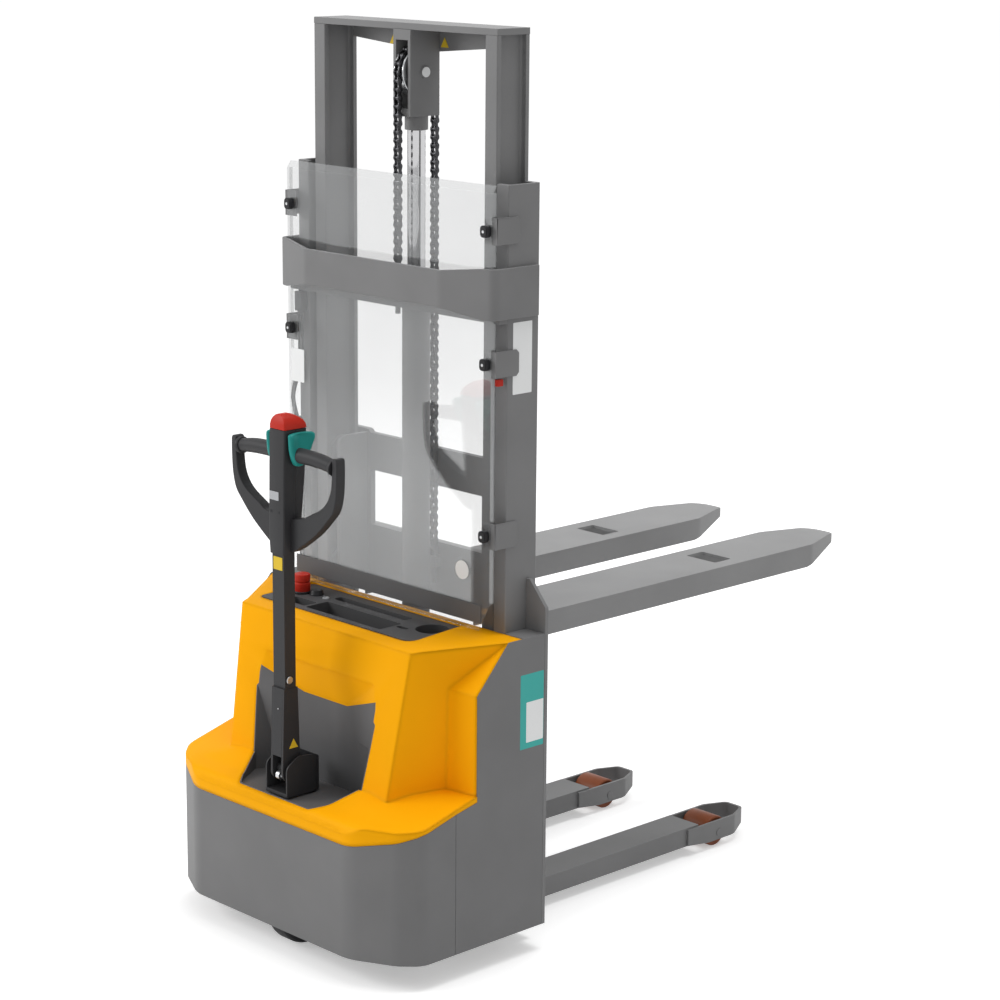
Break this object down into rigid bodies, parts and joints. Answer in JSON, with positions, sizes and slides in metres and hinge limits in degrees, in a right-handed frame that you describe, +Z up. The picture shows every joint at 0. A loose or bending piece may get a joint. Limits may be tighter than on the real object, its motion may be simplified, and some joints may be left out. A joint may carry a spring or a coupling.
{
  "type": "electric pedestrian stacker",
  "caption": "Walk-behind electric stacker: two-stage mast with forks over support arms, steered drive wheel and tiller, raised by a central cylinder and chain.",
  "frame": {"origin": "on the floor, below the middle of the machine's length and width", "axes": "+X to the operator's right, +Y towards the fork tips, +Z up"},
  "size_m": [0.85, 1.74, 2.123],
  "materials": {
    "body_grey": "satin grey paint",
    "cover_yellow": "smooth yellow-orange moulded plastic",
    "mast_grey": "satin grey paint on rolled steel",
    "dark_plastic": "fine-grained dark grey plastic",
    "liner_grey": "fine-grained grey plastic",
    "tray_grey": "fine-grained grey plastic",
    "red_plastic": "glossy red plastic",
    "teal_plastic": "smooth teal plastic",
    "clear_sheet": "clear polycarbonate sheet",
    "black_plastic": "black plastic",
    "chain_steel": "dark oiled chain steel",
    "chrome_rod": "hard chrome",
    "cable_black": "black cable sheath",
    "roller_brown": "brown polyurethane",
    "drive_tyre": "dark rubber tread on a steel hub",
    "unit_dark": "dark painted unit",
    "steel_zinc": "zinc-plated steel"
  },
  "bodies": {
    "root": {"front_skirt": "body_grey", "side_panel_left": "body_grey", "side_panel_right": "body_grey", "cover": "cover_yellow", "niche_liner": "liner_grey", "top_tray": "tray_grey", "emergency_stop": "red_plastic", "key_switch": "black_plastic", "chassis_frame": "body_grey", "battery_block": "unit_dark", "hydraulic_unit": "unit_dark", "mast_foot": "mast_grey", "outer_upright_left": "mast_grey", "outer_upright_right": "mast_grey", "mast_bracket_left": "mast_grey", "mast_bracket_right": "mast_grey", "cross_bar": "mast_grey", "mast_tie": "mast_grey", "shield": "clear_sheet", "shield_clips_left": "black_plastic", "shield_clips_right": "black_plastic", "lift_barrel": "mast_grey", "support_arm_left": "mast_grey", "support_arm_right": "mast_grey", "lift_switch": "black_plastic", "switch_cables": "cable_black", "chain_front": "chain_steel"},
    "inner_mast": {"inner_upright_left": "mast_grey", "inner_upright_right": "mast_grey", "inner_top_beam": "mast_grey", "inner_lower_cross": "mast_grey", "pulley_head": "mast_grey", "piston_rod": "chrome_rod", "chain_wrap": "chain_steel"},
    "chain_pulley": {"chain_pulley": "steel_zinc"},
    "carriage": {"carriage_frame": "mast_grey", "fork_left": "mast_grey", "fork_right": "mast_grey", "chain_rear": "chain_steel"},
    "steering": {"steer_hinge": "dark_plastic", "drive_unit": "unit_dark"},
    "drive_wheel": {"drive_wheel": "drive_tyre"},
    "tiller": {"tiller_stalk": "dark_plastic", "tiller_head": "dark_plastic", "tiller_button": "red_plastic", "tiller_controls": "teal_plastic"},
    "castor_left": {"castor_fork_left": "steel_zinc"},
    "castor_right": {"castor_fork_right": "steel_zinc"},
    "castor_wheel_left": {"castor_wheel_left": "drive_tyre"},
    "castor_wheel_right": {"castor_wheel_right": "drive_tyre"},
    "load_roller_left": {"load_roller_left": "roller_brown"},
    "load_roller_right": {"load_roller_right": "roller_brown"}
  },
  "joints": [
    {"name": "mast_lift", "type": "slide", "parent": "root", "child": "inner_mast", "axis": [0, 0, 1], "range_m": [-0.335, 0.915], "deforming": ["chain_front"]},
    {"name": "carriage_lift", "type": "slide", "parent": "inner_mast", "child": "carriage", "axis": [0, 0, 1], "range_m": [-0.335, 0.915], "deforming": ["chain_rear"]},
    {"name": "pulley_turn", "type": "hinge", "parent": "inner_mast", "child": "chain_pulley", "pos_m": [0, -0.413, 2.012], "axis": [1, 0, 0], "range_deg": [-340, 922]},
    {"name": "steer", "type": "hinge", "parent": "root", "child": "steering", "pos_m": [0, -0.77, 0.3], "axis": [0, 0, 1], "range_deg": [-90, 90]},
    {"name": "tiller_tilt", "type": "hinge", "parent": "steering", "child": "tiller", "pos_m": [0, -0.815, 0.435], "axis": [1, 0, 0], "range_deg": [0, 78], "stiffness_Nm_per_rad": 6, "springref_deg": -34.38},
    {"name": "drive_spin", "type": "hinge", "parent": "steering", "child": "drive_wheel", "pos_m": [0, -0.77, 0.088], "axis": [1, 0, 0], "continuous": true},
    {"name": "castor_swivel_left", "type": "hinge", "parent": "root", "child": "castor_left", "pos_m": [-0.29, -0.7, 0.16], "axis": [0, 0, 1], "continuous": true},
    {"name": "castor_spin_left", "type": "hinge", "parent": "castor_left", "child": "castor_wheel_left", "pos_m": [-0.29, -0.665, 0.065], "axis": [1, 0, 0], "continuous": true},
    {"name": "load_roller_spin_left", "type": "hinge", "parent": "root", "child": "load_roller_left", "pos_m": [-0.196, 0.418, 0.04], "axis": [1, 0, 0], "continuous": true},
    {"name": "castor_swivel_right", "type": "hinge", "parent": "root", "child": "castor_right", "pos_m": [0.29, -0.7, 0.16], "axis": [0, 0, 1], "continuous": true},
    {"name": "castor_spin_right", "type": "hinge", "parent": "castor_right", "child": "castor_wheel_right", "pos_m": [0.29, -0.665, 0.065], "axis": [1, 0, 0], "continuous": true},
    {"name": "load_roller_spin_right", "type": "hinge", "parent": "root", "child": "load_roller_right", "pos_m": [0.196, 0.418, 0.04], "axis": [1, 0, 0], "continuous": true}
  ],
  "couplings": [
    {"joint": "carriage_lift", "follows": "mast_lift", "ratio": 1},
    {"joint": "pulley_turn", "follows": "mast_lift", "rad_per_m": 17.544}
  ]
}
